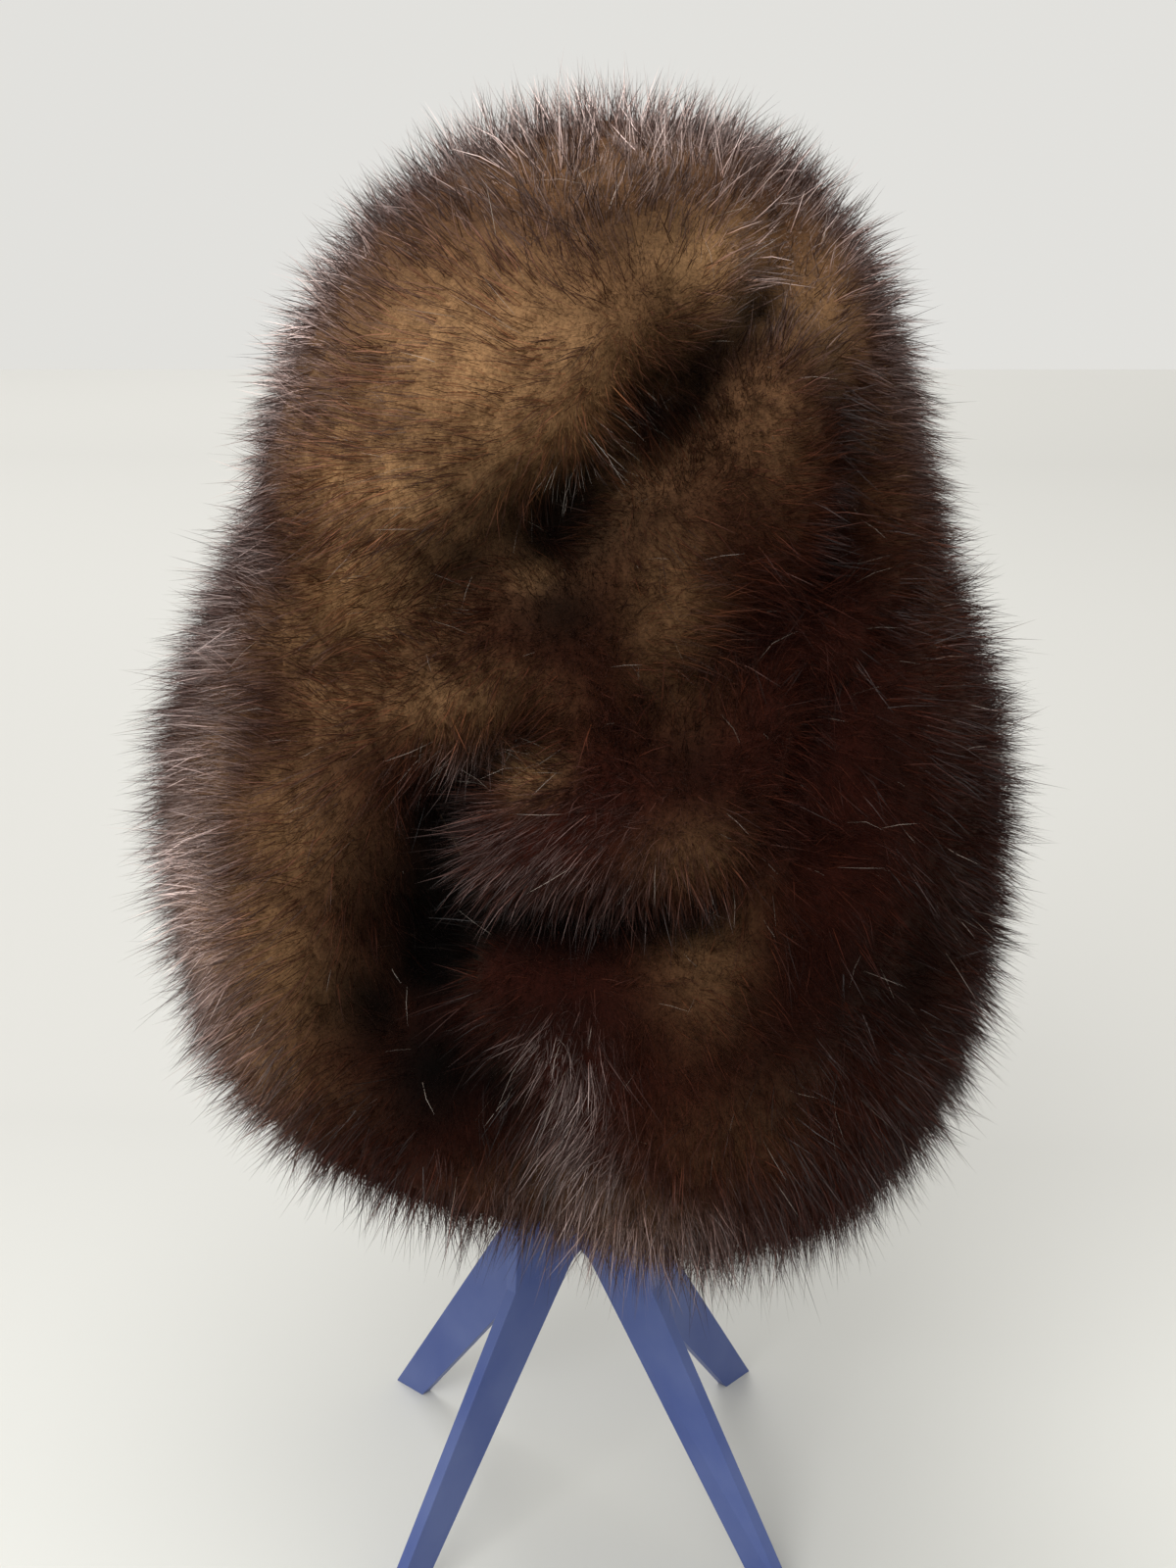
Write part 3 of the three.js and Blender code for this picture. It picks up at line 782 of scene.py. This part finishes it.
@dataclass
class Coat:
    """What the fur is like all over the hat: its colours with painted shade and painted sheen, how it has
    been stroked and where it is longer.

    Spots in longer and trimmed have their strength in millimetres, and the others are shares.
    """

    golden: tuple[Spot, ...] = table_of(
        Spot, (-22, 374, 56, 36, 0.81), (-10, 424, 50, 14, 0.3), (-56, 364, 30, 26, 0.55),
        (-33, 349, 26, 18, 0.95), (24, 404, 27, 13, 0.9), (50, 392, 22, 22, 0.5), (30, 365, 20, 24, 0.26),
        (12, 325, 13, 22, 0.38), (68, 350, 22, 36, 0.25), (-20, 302, 26, 10, 0.5), (15, 243, 14, 22, 0.3),
        (-40, 322, 30, 20, 0.85), (-52, 308, 22, 16, 0.3), (-40, 266, 22, 22, 0.48),
        (-45, 232, 22, 26, 0.75), (-38, 194, 20, 11, 0.15), (-9, 333, 8, 6, 0.6), (-47, 350, 26, 22),
        (-60, 232, 26, 54, 0.9), (-52, 200, 24, 28, 0.85), (-36, 304, 20, 18, 0.58), (-8, 289, 8, 6),
        (13, 266, 14, 10, 0.28), (2, 166, 28, 12, 0.3), (20, 192, 22, 18, 0.13), (150, 372, 38, 22, 0.5),
        (120, 352, 26, 14, 0.35), (-140, 250, 24, 30, 0.35),
    )
    # Painted sheen: where guard hairs turn pale mauve-grey towards their tips, a painted highlight for the
    # haze and glints that light makes on the hair at the top and left edges and in a few small places.
    silver: tuple[Spot, ...] = table_of(
        Spot, (-16, 436, 74, 20), (-74, 380, 30, 32, 0.8), (46, 412, 26, 26, 0.6), (-64, 310, 20, 22, 0.55),
        (-60, 240, 26, 48, 0.9), (-2, 270, 26, 12, 0.1), (0.5, 183, 10, 14, 0.5), (-4, 219, 6, 8, 0.55),
        (-1, 207, 7, 16, 0.45), (4, 165, 28, 11, 0.3), (-14, 291, 9, 4, 0.4), (75, 380, 22, 30, 0.3),
        (-110, 330, 60, 80, 0.6),
    )
    # Painted shade: darker hair in the hollow, under the bulge, in the creases and down the right side away
    # from the window.
    shaded: tuple[Spot, ...] = table_of(
        Spot, (-24, 246, 17, 26), (-20, 204, 25, 25), (-4, 248, 26, 10), (-21, 281, 12, 6, 0.9),
        (-4, 227, 22, 13, 0.55), (-7, 343, 28, 13, 0.88), (-20, 334, 16, 9, 0.75), (-4, 323, 14, 9, 0.85),
        (14, 289, 9, 10, 0.55), (-5, 353, 7, 7, 0.95), (-4, 388, 9, 8, 0.18), (15, 403, 8, 8, 0.45),
        (6, 408, 13, 9, 0.45), (-30, 218, 14, 20, 0.97), (-18, 247, 12, 10), (-12, 203, 13, 20, 0.95),
        (42, 282, 11, 28, 0.5), (15, 411, 5, 9, 0.5), (47, 358, 9, 28, 0.72), (50, 318, 10, 34, 0.45),
        (36, 226, 24, 21, 0.72), (50, 240, 38, 64, 0.55), (48, 222, 22, 32, 0.8), (25, 210, 18, 20, 0.5),
    )
    # Less painted shade in these folds, where light gets in.
    opened: tuple[Spot, ...] = table_of(
        Spot, (-44, 326, 34, 36), (9, 358, 10, 12, 0.6), (16, 380, 8, 10, 0.5),
    )
    combed: tuple[Comb, ...] = table_of(
        Comb, (Spot(-22, 372, 40, 30), -1.5, 0.15), (Spot(-12, 400, 34, 16), 0.0, 0.40),
        (Spot(3, 366, 14, 9), 1.0, -0.50), (Spot(85, 350, 40, 34), 0.1, -0.35),
        (Spot(-60, 300, 34, 22), -0.25, -0.10), (Spot(-30, 283, 14, 12), -0.45, -0.60),
        (Spot(-3, 272, 28, 14), -1.1, -0.6), (Spot(14, 250, 14, 12), -0.35, -0.60),
        (Spot(-42, 240, 26, 34), -0.35, -0.15), (Spot(-9, 222, 16, 14), -0.35, -0.25),
        (Spot(0, 192, 20, 16), -0.55, 0.0), (Spot(-4, 345, 16, 10), 0.15, -0.35),
    )
    longer: tuple[Spot, ...] = table_of(
        Spot, (-40, 428, 44, 26, 5.5), (0, 156, 50, 16, 4.5), (20, 152, 30, 14, 3.8),
        (42, 160, 32, 16, 5.0), (-52, 180, 34, 14), (76, 235, 50, 60, -2.0), (-5, 262, 30, 13, -5.0),
        (-80, 256, 30, 44, 4.0), (-72, 350, 18, 16, -5.0), (-48, 420, 24, 18, -3.0),
    )
    trimmed: tuple[Spot, ...] = table_of(
        Spot, (-58, 398, 44, 34, 11.0), (-40, 428, 44, 26, 6.5), (-26, 439, 30, 14, 5.0),
        (54, 404, 38, 30, 9.0), (-75, 355, 26, 26, 3.0), (78, 310, 30, 30, 3.0), (-18, 165, 24, 14, 4.5),
        (180, 400, 70, 30, 5.0),
    )
    usual_lean: Range = (0.0, -0.12)
    # The painted shade in the folds starts at this depth of relief and is full at the next, in millimetres.
    fold_start: float = 6.0
    fold_full: float = 17.0
    dapple_size: float = 34.0
    dapple_share: float = 0.085
    dapple_most: float = 0.5
    dapple_flat: float = 1.5
    dapple_start: float = 65.0
    dapple_fade: float = 25.0
    noise: Noise = field(default_factory=lambda: Noise(SEED + 1))

    def gold(self, place: Place) -> Array:
        """How golden the coat is at places, from 0 to 1: the strongest spot there, or the dapple if more."""
        return np.maximum(self.most(self.golden, place), self.dapple(place))

    def dapple(self, place: Place) -> Array:
        """Uneven golden patches at the sides and the back, by smooth noise that fades out at the front.

        Args:
            place: Where on the hat.

        Returns:
            Shares from 0 to dapple_most.
        """
        points = np.stack([
            place.face_radius * np.sin(place.azimuth), -place.face_radius * np.cos(place.azimuth),
            self.dapple_flat * place.face_height,
        ], axis=-1)
        rise = self.noise.at(points, self.dapple_size)[..., 0]
        turn = np.abs(wrapped(np.degrees(place.azimuth)))
        away = np.clip((turn - self.dapple_start) / self.dapple_fade, 0, 1)
        return away * np.clip(self.dapple_share * (1 + rise), 0, self.dapple_most)

    @staticmethod
    def weights(spots: tuple[Spot, ...], place: Place) -> list[Array]:
        """The weight of each of some spots at places."""
        degrees = np.degrees(place.azimuth)
        return [spot.weight(degrees, place.face_height, place.face_radius) for spot in spots]

    def most(self, spots: tuple[Spot, ...], place: Place) -> Array:
        """The greatest weight of some spots at places."""
        return np.max(self.weights(spots, place), axis=0)

    def total(self, spots: tuple[Spot, ...], place: Place) -> Array:
        """The sum of the weights of some spots at places."""
        return np.sum(self.weights(spots, place), axis=0)

    def fold(self, place: Place) -> Array:
        """How much painted shade the coat has at places: from 0 to 1 as a fold deepens, or by the shaded
        spots if more.

        A fold that lies open to the light there gets less painted shade, by the opened spots.

        Args:
            place: Where on the hat.

        Returns:
            Shares from 0 to 1.
        """
        depth = (-place.relief - self.fold_start) / (self.fold_full - self.fold_start)
        painted_fold_shade = np.clip(depth, 0, 1) * (1 - self.most(self.opened, place))
        return np.maximum(painted_fold_shade, self.most(self.shaded, place))

    def colours(self, place: Place) -> dict[str, Array]:
        """What the materials read of the coat at places, by the names of their attributes: its gold, its
        painted shade and its painted sheen.
        """
        return {"gold": self.gold(place), "fold": self.fold(place), "silver": self.most(self.silver, place)}

    def lean(self, place: Place) -> tuple[Array, Array]:
        """How far the hair leans along the azimuth and upwards, as the weighted sum of the combed spots.

        Args:
            place: Where on the hat.

        Returns:
            The lean along the azimuth, and the lean upwards.
        """
        aside = np.full_like(place.row, self.usual_lean[0])
        upward = np.full_like(place.row, self.usual_lean[1])
        weights = self.weights(tuple(comb.spot for comb in self.combed), place)
        for comb, weight in zip(self.combed, weights):
            aside += comb.aside * weight
            upward += comb.upward * weight
        return aside, upward


@dataclass
class FurCoat:
    """The fur of one zone: a velvety body of underfur and the hair that stands out of it.

    A hair turns back by a share, across_fold, of the relief's slope. It is longer or shorter as the fur
    there is deeper or less deep than usual_fur, within the range of its shares, and droops at its tip.
    """

    form: HatForm
    coat: Coat
    zone: Zone
    columns: int = 200
    rows: int = 56
    body_depth: float = 3.5
    least_body: float = 1.0
    rough_size: float = 4.0
    rough_height: float = 0.25
    scatter_grid: tuple[int, int] = (360, 200)
    less_in_fold: float = 0.2
    sparse_in_fold: float = 0.5
    off_patches: float = 0.04
    least_out: float = 0.5
    least_length: float = 2.0
    across_fold: float = 0.65
    usual_fur: float = 17.0
    fur_shares: Range = (0.85, 1.1)
    droop: float = 0.08
    noise: Noise = field(default_factory=lambda: Noise(SEED))

    def body_level(self, place: Place) -> Array:
        """How far out the body's face lies: under the fur's face, but clear of the backing."""
        backing = self.form.backing(place, self.zone)
        return np.maximum(self.form.face(place, self.zone) - self.body_depth, backing + self.least_body)

    def body(self, finish: Material) -> Piece:
        """The body of the underfur, a closed shell from the backing up, roughened by smooth noise.

        Args:
            finish: Its material.

        Returns:
            The piece.
        """
        azimuth = ring_of(self.columns)
        top = 1.0 - 1.0 / self.rows if self.zone is Zone.CROWN else 1.0
        share = np.linspace(0, top, self.rows)[:, None]
        place = self.form.place(azimuth, self.form.rows_of(self.zone, azimuth, share))
        outer = self.form.point(place, self.body_level(place))
        outer = outer + self.noise.at(outer, self.rough_size) * self.rough_height
        inner = self.form.point(place, self.form.backing(place, self.zone))
        piece = wall_piece(f"{self.zone.value}_body", outer, inner, self.zone is Zone.CROWN, finish)
        for name, values in self.coat.colours(place).items():
            every = np.zeros(len(piece.data.vertices))
            every[:values.size] = values.reshape(-1)
            set_attribute(piece, name, every)
        return piece

    def scatter(self, kind: HairKind, rng: np.random.Generator) -> tuple[Array, Array]:
        """Places for tufts, spread evenly over the fur's face and thinner where the kind is sparse.

        Args:
            kind: The kind of hair.
            rng: The random numbers.

        Returns:
            Azimuths in degrees and fractional rows.
        """
        columns, rows = self.scatter_grid
        azimuth = ring_of(columns, more=1)
        share = np.linspace(0, 1, rows + 1)[:, None]
        place = self.form.place(azimuth, self.form.rows_of(self.zone, azimuth, share))
        points = self.form.point(place, self.form.face(place, self.zone))
        side = points[:-1, 1:] - points[:-1, :-1]
        rise = points[1:, :-1] - points[:-1, :-1]
        area = np.linalg.norm(np.cross(side, rise), axis=-1)
        log.info("%s: %.0f square millimetres", self.zone.value, area.sum())
        weight = (1 - kind.sparse * self.coat.gold(place)) * (1 - self.sparse_in_fold * self.coat.fold(place))
        if kind.patches:
            weight = self.off_patches + self.coat.most(kind.patches, place)
        area = area * weight[:-1, :-1]
        total = np.cumsum(area)
        count = kind.count // kind.tuft
        cell = np.searchsorted(total, rng.random(count) * total[-1])
        row, column = np.divmod(np.minimum(cell, area.size - 1), columns)
        found_azimuth = (column + rng.random(count)) * 360.0 / columns
        found_share = (row + rng.random(count)) / rows
        return found_azimuth, self.form.rows_of(self.zone, found_azimuth, found_share)

    def slopes(self, azimuth: Array, row: Array, place: Place) -> tuple[Array, Array]:
        """The slope of the relief along the azimuth and up the profile, by small steps.

        Args:
            azimuth: Azimuths in degrees.
            row: Fractional rows of the profile.
            place: The same places.

        Returns:
            The slope along the azimuth and the slope up the profile.
        """
        step, least_radius = 0.8, 8.0
        turn = np.degrees(step / np.maximum(place.face_radius, least_radius))
        across = self.form.relief(azimuth + turn, row) - self.form.relief(azimuth - turn, row)
        lift, least_rise = 0.04, 0.3
        low, high = self.form.section(row - lift), self.form.section(row + lift)
        length = np.hypot(high["face_height"] - low["face_height"], high["face_radius"] - low["face_radius"])
        up = self.form.relief(azimuth, row + lift) - self.form.relief(azimuth, row - lift)
        return across / (2 * step), up / np.maximum(length, least_rise)

    def grow(self, kind: HairKind, finish: Material, seed: int) -> Piece:
        """Grows one kind of hair in tufts of flat tapering strips, rooted in the body.

        A tuft stands along the lean of the profile, less the slope of the relief, so that it stands
        across the fold it grows in, and leans as the coat is combed. Smooth noise and a number of its own
        turn it. Its hairs start round its root and draw together towards its tip.

        Args:
            kind: The kind of hair.
            finish: Its material.
            seed: The seed of its random numbers.

        Returns:
            The piece.
        """
        rng = np.random.default_rng(seed)
        azimuth, row = self.scatter(kind, rng)
        place = self.form.place(azimuth, row)
        level = self.body_level(place) - kind.root
        root = self.form.point(place, level)
        out = unit(self.form.point(place, level + 1.0) - root)
        aside = np.stack([np.cos(place.azimuth), np.sin(place.azimuth), np.zeros_like(row)], axis=-1)
        upward = np.cross(out, aside)
        across, up = self.slopes(azimuth, row, place)
        lean_aside, lean_up = self.coat.lean(place)
        lean_aside = lean_aside - self.across_fold * across
        lean_up = lean_up - self.across_fold * up
        turn = kind.wave * self.noise.at(root, kind.wave_size)
        turn = turn + kind.clump * self.noise.at(root, kind.clump_size)
        turn = turn + kind.stray * rng.standard_normal(root.shape)
        turn = turn + lean_aside[:, None] * aside + lean_up[:, None] * upward
        direction = unit(out + turn)
        reach = np.maximum(self.form.face(place, self.zone) - level, kind.root + self.least_out) + kind.beyond
        colours = self.coat.colours(place)
        shortened = np.clip(place.fur / self.usual_fur, *self.fur_shares)
        shortened = shortened * (1 - self.less_in_fold * colours["fold"])
        reach = reach * shortened + self.coat.total(self.coat.longer, place)
        reach = reach - kind.trim * self.coat.total(self.coat.trimmed, place)
        root, direction, aside, upward, reach = (
            np.repeat(values, kind.tuft, axis=0) for values in (root, direction, aside, upward, reach))
        count = len(root)
        uneven = kind.uneven * np.clip(rng.standard_normal(count), -2, 2)
        length = np.maximum(reach + uneven, self.least_length)
        angle = rng.random(count) * 2 * np.pi
        offset = kind.radius * np.sqrt(rng.random(count))
        offset = (offset * np.cos(angle))[:, None] * aside + (offset * np.sin(angle))[:, None] * upward
        along = unit(length[:, None] * direction - (1 - kind.gather) * offset)
        curl = kind.curl * rng.standard_normal(root.shape) - np.array([0.0, 0.0, self.droop])
        piece = self.strips(kind, finish, root + offset, along, curl, length, rng)
        for name, values in colours.items():
            set_attribute(piece, name, np.repeat(values, kind.tuft * (2 * kind.steps + 1)))
        return piece

    def strips(self, kind: HairKind, finish: Material, root: Array, direction: Array, curl: Array,
               length: Array, rng: np.random.Generator) -> Piece:
        """The mesh of hairs: a strip for each, two points wide at each step and one at the tip.

        A point a share s along a hair is its root plus its length times (s of its direction plus s
        squared of its curl), and the strip is there its thickness times the root of 1 - s wide.

        Args:
            kind: The kind of hair.
            finish: Its material.
            root: Where each hair starts.
            direction: The way each hair goes.
            curl: How each hair bends.
            length: How long each hair is.
            rng: The random numbers.

        Returns:
            The piece, with U a number of each hair's own and V from root to tip.
        """
        steps = kind.steps
        share = np.linspace(0, 1, steps + 1)[None, :, None]
        spine = root[:, None] + length[:, None, None] * (
            share * direction[:, None] + share**2 * curl[:, None])
        side = unit(np.cross(direction, rng.standard_normal(direction.shape)))
        half = 0.5 * kind.thickness * np.sqrt(1 - share[:, :-1])
        left = spine[:, :-1] - half * side[:, None]
        right = spine[:, :-1] + half * side[:, None]
        pairs = np.stack([left, right], axis=2).reshape(len(root), 2 * steps, 3)
        points = np.concatenate([pairs, spine[:, -1:]], axis=1)
        per = 2 * steps + 1
        base = (np.arange(len(root)) * per)[:, None]
        pattern = [(2 * k, 2 * k + 1, 2 * k + 3) for k in range(steps - 1)]
        pattern += [(2 * k, 2 * k + 3, 2 * k + 2) for k in range(steps - 1)]
        pattern += [(2 * steps - 2, 2 * steps - 1, 2 * steps)]
        faces = (base[:, :, None] + np.array(pattern)[None]).reshape(-1, 3)
        along = np.append(np.repeat(np.linspace(0, 1, steps + 1)[:-1], 2), 1.0)
        own = rng.random(len(root))
        uv = np.stack([np.repeat(own, per), np.tile(along, len(root))], axis=-1)
        return mesh_piece(f"{self.zone.value}_{kind.name}", points.reshape(-1, 3), [faces], finish, uv)


@dataclass
class Crown:
    """The hide of the crown, seen from below inside the hat."""

    form: HatForm
    columns: int = 144
    rows: int = 60

    def build(self, finish: Material) -> Piece:
        """The whole hide as one closed wall, from the rim up to its pole.

        Args:
            finish: Its material.

        Returns:
            The piece.
        """
        share = np.linspace(0, 1, self.rows + 1)[:-1, None]
        place = self.form.place(ring_of(self.columns), self.form.last_row * share)
        outer = self.form.point(place, self.form.hide_outside(place))
        inner = self.form.point(place, self.form.hide_inside(place))
        return wall_piece("crown_hide", outer, inner, True, finish)


@dataclass
class Cuff:
    """The padded roll of the turned-up cuff, under its fur."""

    form: HatForm
    columns: int = 144
    rows: int = 36

    def build(self, finish: Material) -> Piece:
        """The roll, between the outside of the hide and the backing of the fur.

        Args:
            finish: Its material.

        Returns:
            The piece.
        """
        azimuth = ring_of(self.columns)
        share = np.linspace(0, 1, self.rows)[:, None]
        place = self.form.place(azimuth, self.form.rows_of(Zone.CUFF, azimuth, share))
        inside = self.form.hide_outside(place) + self.form.gap
        outer = self.form.point(place, inside + place.pad)
        return wall_piece("cuff_roll", outer, self.form.point(place, inside), False, finish)


@dataclass(frozen=True)
class SuedeFinish:
    """Suede, the inside of a dressed pelt: a dull, slightly mottled nap with fine creases."""

    colour: str = "#7A6248"
    mottle: str = "#5F4A36"
    mottle_mm: float = 22.0
    mottle_span: Range = (0.35, 0.65)
    grain_mm: float = 1.2
    grain_strength: float = 0.35
    grain_depth: float = 0.3
    roughness: float = 0.92
    sheen: float = 0.3

    def make(self) -> Material:
        """The material, on Object coordinates in metres."""
        material, tree, surface = new_material("suede_dressed_pelt")
        mottle = noise_of(tree, self.mottle_mm, detail=4.0)
        grain = noise_of(tree, self.grain_mm, detail=3.0)
        feed(tree, surface, {
            "Base Color": ramp_of(tree, mottle, tuple(zip(self.mottle_span, (self.mottle, self.colour)))),
            "Normal": bump_of(tree, grain, self.grain_strength, self.grain_depth),
            "Roughness": self.roughness, "Sheen Weight": self.sheen})
        return material


@dataclass(frozen=True)
class PlasticFinish:
    """Moulded polypropylene, blue: satin, a little worn, and lighter and rougher where it is."""

    colour: str = "#3A4C86"
    worn: str = "#505F91"
    worn_mm: float = 30.0
    worn_span: Range = (0.35, 0.7)
    worn_rougher: float = 0.14
    grain_mm: float = 0.9
    grain_strength: float = 0.12
    grain_depth: float = 0.05
    roughness: float = 0.38
    refraction: float = 1.49

    def make(self) -> Material:
        """The material, on Object coordinates in metres."""
        material, tree, surface = new_material("moulded_polypropylene")
        cloud = noise_of(tree, self.worn_mm, detail=5.0)
        grain = noise_of(tree, self.grain_mm, detail=2.0)
        rougher = (self.roughness, self.roughness + self.worn_rougher)
        feed(tree, surface, {
            "Base Color": ramp_of(tree, cloud, tuple(zip(self.worn_span, (self.colour, self.worn)))),
            "Normal": bump_of(tree, grain, self.grain_strength, self.grain_depth),
            "Roughness": remapped(tree, cloud, NOISE_RANGE, rougher), "IOR": self.refraction})
        return material


@dataclass
class Stand:
    """The two slotted plates of the stand, kept as packed, with their edges rounded."""

    nodes: tuple[str, ...] = ("stand_plate_one", "stand_plate_two")
    weld_mm: float = 0.01
    edge_mm: float = 0.5
    edge_segments: int = 3
    edge_degrees: float = 40.0

    def dress(self, finish: Material) -> list[Piece]:
        """Gives both plates their finish and rounded edges.

        Args:
            finish: The material of both.

        Returns:
            The plates.
        """
        plates = [bpy.data.objects[name] for name in self.nodes]
        for plate in plates:
            plate.data.materials.clear()
            plate.data.materials.append(finish)
            weld = plate.modifiers.new("weld", "WELD")
            weld.merge_threshold = self.weld_mm * MM
            bevel = plate.modifiers.new("edge", "BEVEL")
            bevel.width = self.edge_mm * MM
            bevel.segments = self.edge_segments
            bevel.limit_method = "ANGLE"
            bevel.angle_limit = np.radians(self.edge_degrees)
        return plates


@dataclass(frozen=True)
class Lamp:
    """A square soft light: where it is, where it aims, how wide it is in millimetres, and its watts."""

    name: str
    place: tuple[float, float, float]
    aim: tuple[float, float, float]
    size: float
    watts: float


@dataclass
class Studio:
    """Pale floor under an even pale surround, soft lights and the camera. Sizes in millimetres.

    The floor is two sheets of card that meet in a seam behind the hat. card gives their tones by Y. The
    window is a large soft key from the upper left in front.
    """

    camera_distance: float = 561.0
    camera_height: float = 420.0
    camera_pitch: float = 17.2
    focal_px: float = 2000.0
    frame_height_px: float = 1600.0
    sensor_mm: float = 36.0
    surround: str = "#F6F5F1"
    surround_strength: float = 0.825
    seam_skew: float = -0.07
    floor_reach: float = 4000.0
    floor_roughness: float = 0.85
    card: Stops = (
        (-4000, "#B6B6B1"), (-900, "#CDCDC8"), (-100, "#D5D5D0"), (270, "#C3C2BE"), (272, "#C5C4C0"),
        (1400, "#C9C8C4"), (2500, "#C8C7C3"), (4000, "#D9D8D4"),
    )
    lamps: tuple[Lamp, ...] = table_of(
        Lamp,
        ("window", (-3000, -7100, 6000), (0, 100, 200), 5200, 488.0),
        ("ceiling", (-120, -260, 1300), (0, 0, 300), 700, 4.0),
        ("skylight", (-1400, 2600, 3400), (0, 0, 300), 2200, 60.0),
    )

    def floor(self) -> None:
        """Lays the floor, with a seam that lies askew a little behind the hat."""
        reach = self.floor_reach
        x = reach * np.array([-1.0, 1.0, 1.0, -1.0])
        y = reach * np.array([-1.0, -1.0, 1.0, 1.0])
        material, tree, surface = new_material("matt_white_card")
        spot = add_node(tree, "ShaderNodeTexCoord").outputs["Object"]
        place = add_node(tree, "ShaderNodeSeparateXYZ", {0: spot}).outputs
        behind = add_node(
            tree, "ShaderNodeMath", {0: place["X"], 1: -self.seam_skew, 2: place["Y"]},
            operation="MULTIPLY_ADD").outputs[0]
        share = remapped(tree, behind, (-reach * MM, reach * MM), UNIT_RANGE)
        stops = tuple(((y + reach) / (2 * reach), tone) for y, tone in self.card)
        feed(tree, surface, {
            "Base Color": ramp_of(tree, share, stops), "Roughness": self.floor_roughness})
        corners = np.stack([x, y, np.zeros(4)], axis=-1)
        piece = mesh_piece("floor", corners, [np.arange(4)[None]], material)

    def lights(self) -> None:
        """An even surround and the lamps, each turned so that its -Z looks at its aim and its X is level."""
        scene = bpy.context.scene
        world = bpy.data.worlds.new("surround")
        scene.world = world
        world.use_nodes = True
        feed(world.node_tree, world.node_tree.nodes["Background"], {
            "Color": linear(self.surround), "Strength": self.surround_strength})
        for lamp in self.lamps:
            data = bpy.data.lights.new(lamp.name, "AREA")
            data.energy = lamp.watts
            data.size = lamp.size * MM
            light = bpy.data.objects.new(lamp.name, data)
            scene.collection.objects.link(light)
            light.location = np.array(lamp.place) * MM
            x, y, z = np.array(lamp.aim, float) - np.array(lamp.place, float)
            light.rotation_euler = (np.arctan2(np.hypot(x, y), -z), 0.0, np.arctan2(-x, y))

    def camera(self) -> None:
        """Sets the camera at the photograph's height, pitch and angle of view."""
        data = bpy.data.cameras.new("camera")
        data.sensor_width = self.sensor_mm
        data.lens = self.focal_px * self.sensor_mm / self.frame_height_px
        camera = bpy.data.objects.new("camera", data)
        bpy.context.scene.collection.objects.link(camera)
        camera.location = (0.0, -self.camera_distance * MM, self.camera_height * MM)
        camera.rotation_euler = (np.radians(90 - self.camera_pitch), 0.0, 0.0)
        bpy.context.scene.camera = camera


def place_piece(piece: Piece, slot: str, *nodes: str) -> None:
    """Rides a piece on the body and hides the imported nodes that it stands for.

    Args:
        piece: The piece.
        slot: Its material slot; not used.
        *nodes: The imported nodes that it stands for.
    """
    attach(piece, "root")
    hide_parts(*nodes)
    log.info("%s: %d faces", piece.name, len(piece.data.polygons))


def grow_zone(form: HatForm, coat: Coat, zone: Zone, seed: int, finishes: dict[str, Material]) -> None:
    """Builds one zone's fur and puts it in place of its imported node.

    Args:
        form: The hat's shape.
        coat: What the fur is like.
        zone: The part of the hat that bears the fur.
        seed: The seed of its first kind of hair.
        finishes: The materials of the fur, by name.
    """
    fur = FurCoat(form, coat, zone)
    place_piece(fur.body(finishes["face"]), "fur", zone.value)
    for step, kind in enumerate(HAIR_KINDS):
        place_piece(fur.grow(kind, finishes[kind.finish], seed + step), "fur", zone.value)


def main() -> None:
    """Builds the hat, dresses the stand and sets the studio round them."""
    logging.basicConfig(level=logging.INFO, format="%(name)s %(message)s")
    bpy.context.scene.view_settings.view_transform = "Standard"
    form = HatForm()
    studio = Studio()
    studio.camera()
    suede = SuedeFinish().make()
    place_piece(Crown(form).build(suede), "hide", "crown_inside_cuff", "crown_side", "crown_top")
    roll = Cuff(form).build(suede)
    place_piece(roll, "cuff_roll", "cuff")
    undyed = ((0, "#7E6E62"), (1, "#D2C6BB"))
    finishes = {
        "face": WoolFinish().make(),
        # The underfur is darker at the root: partly its own colour, partly painted shade deep in the fur.
        "underfur": HairFinish(
            "mink_underfur", dark=((0, "#280E09"), (1, "#451D12")), golden=((0, "#866341"), (1, "#A9835B")),
            roughness=0.9, specular=0.05, sheen=0.04, darkest=0.8, lightest=1.2).make(),
        "guard": HairFinish(
            "mink_guard_hair", dark=((0, "#3E1D11"), (0.5, "#341811"), (1, "#241210")),
            golden=((0, "#8C6340"), (0.5, "#67402A"), (1, "#3A2017")),
            roughness=0.3, specular=0.22, sheen=0.04, darkest=0.5, lightest=2.9, few_light=4.0).make(),
        "white": HairFinish(
            "undyed_mink_hair", dark=undyed, golden=undyed, roughness=0.3, specular=0.6, sheen=0.0,
            in_fold=0.7).make(),
    }
    coat = Coat()
    grow_zone(form, coat, Zone.CUFF, 40, finishes)
    grow_zone(form, coat, Zone.CROWN, 50, finishes)
    for plate in Stand().dress(PlasticFinish().make()):
        log.info("%s: %d faces", plate.name, len(plate.data.polygons))
    studio.floor()
    studio.lights()


if __name__ == "__main__":
    main()
